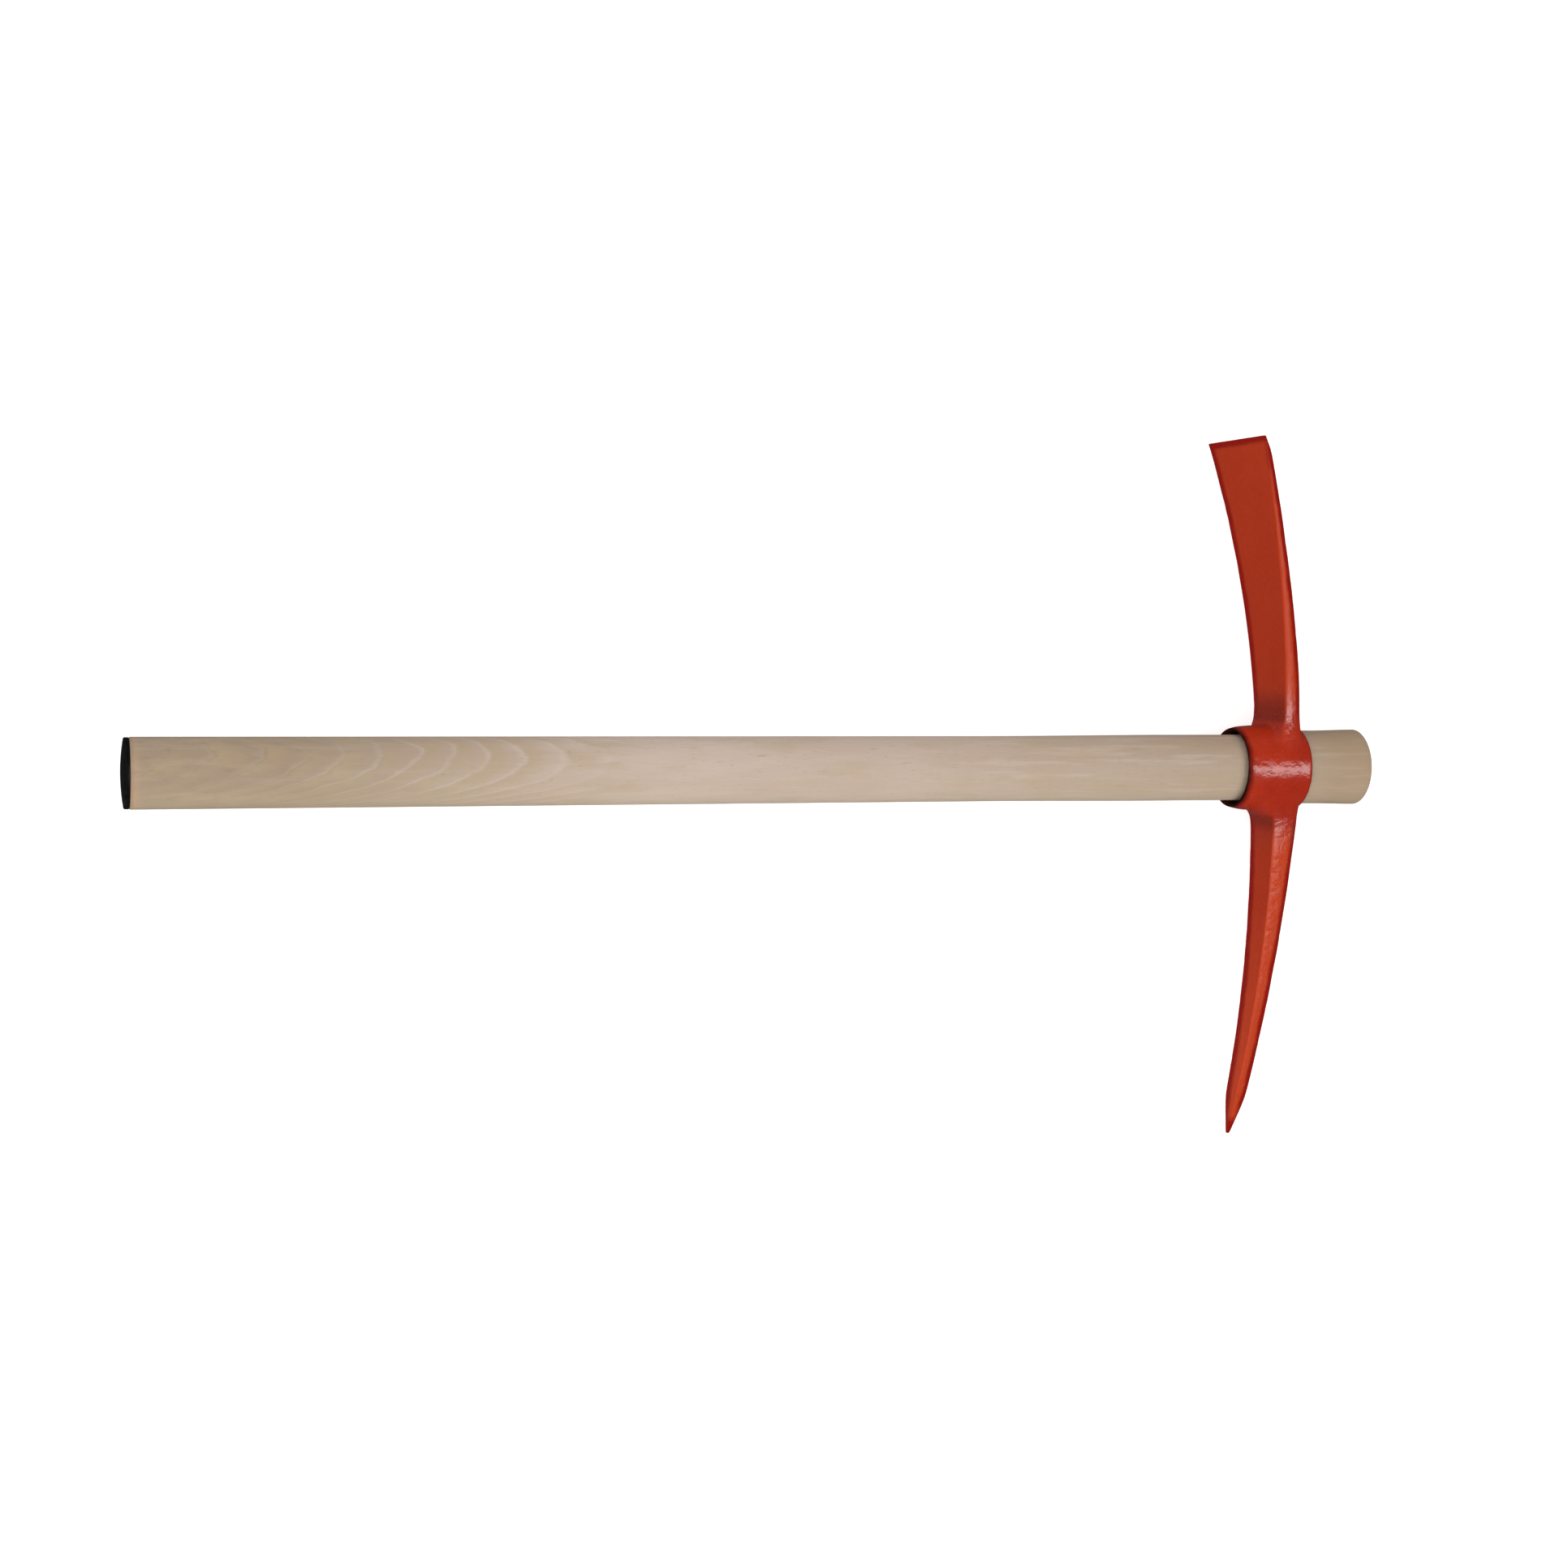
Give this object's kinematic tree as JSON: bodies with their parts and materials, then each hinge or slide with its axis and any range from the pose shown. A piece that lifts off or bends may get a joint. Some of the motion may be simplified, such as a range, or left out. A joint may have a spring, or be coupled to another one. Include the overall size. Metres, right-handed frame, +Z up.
{
  "type": "pick mattock",
  "caption": "Pick mattock: a forged head with a wide adze opposite a square point, slipped by its round eye onto a straight wooden handle with a capped butt.",
  "frame": {"origin": "below the middle of the tool's bounding box as it lies on its side, at the height of the adze's lowest corner", "axes": "+X along the handle from the butt to the head, +Y along the adze, -Y along the point, +Z up across the adze's width"},
  "size_m": [0.9057, 0.5214, 0.0866],
  "materials": {
    "red_enamel": "glossy red enamel sprayed over forged steel, slightly wavy",
    "beech": "turned and sanded pale beech with a thin satin coat, fine flecks along the grain",
    "black_plastic": "plain black moulding"
  },
  "bodies": {
    "handle": {"handle": "beech", "butt_cap": "black_plastic"},
    "head": {"pick_head": "red_enamel"}
  },
  "joints": [
    {"name": "head_slide", "type": "slide", "parent": "handle", "child": "head", "axis": [-1, 0, 0], "range_m": [0, 0.87]}
  ]
}
